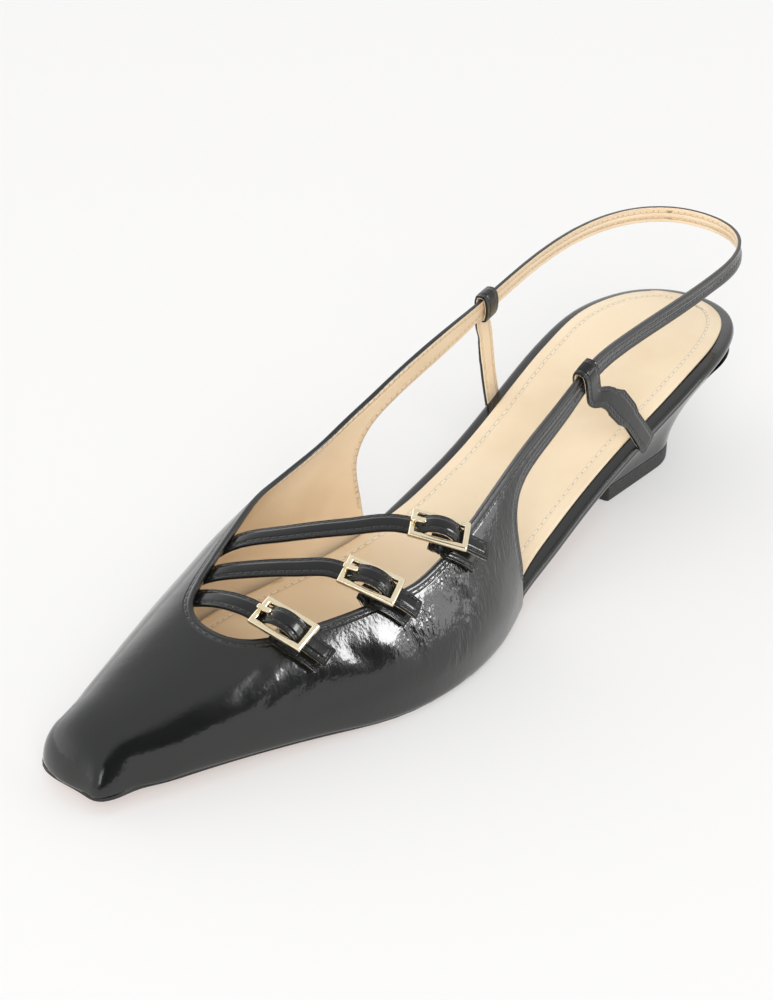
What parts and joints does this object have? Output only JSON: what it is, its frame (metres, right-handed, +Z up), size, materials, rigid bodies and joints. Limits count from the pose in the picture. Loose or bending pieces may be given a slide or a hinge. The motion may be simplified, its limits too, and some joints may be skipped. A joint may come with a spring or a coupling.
{
  "type": "slingback shoe",
  "caption": "Left slingback shoe with a squared toe, a low heel, an open throat crossed by narrow buckled straps, and a band round the back of the heel.",
  "frame": {"origin": "middle of the shoe's box, on the floor under the sole", "axes": "+X towards the toe, +Y towards the outer side of the left foot, +Z up"},
  "size_m": [0.267, 0.0706, 0.0639],
  "materials": {
    "black_leather": "glossy, finely creased",
    "beige_leather": "smooth, satin",
    "tan_sole": "smooth, satin",
    "pale_gold": "polished",
    "black_rubber": "matte"
  },
  "bodies": {
    "root": {"outsole": "tan_sole", "insole_board": "black_leather", "sock": "beige_leather", "heel": "black_leather", "heel_tip": "black_rubber", "upper": "black_leather", "side_strap_outer": "black_leather", "side_strap_inner": "black_leather", "buckle_1": "pale_gold", "prong_1": "pale_gold", "strap_1": "black_leather", "strap_base_1": "black_leather", "buckle_2": "pale_gold", "prong_2": "pale_gold", "strap_2": "black_leather", "strap_base_2": "black_leather", "buckle_3": "pale_gold", "prong_3": "pale_gold", "strap_3": "black_leather", "strap_base_3": "black_leather"}
  },
  "joints": []
}
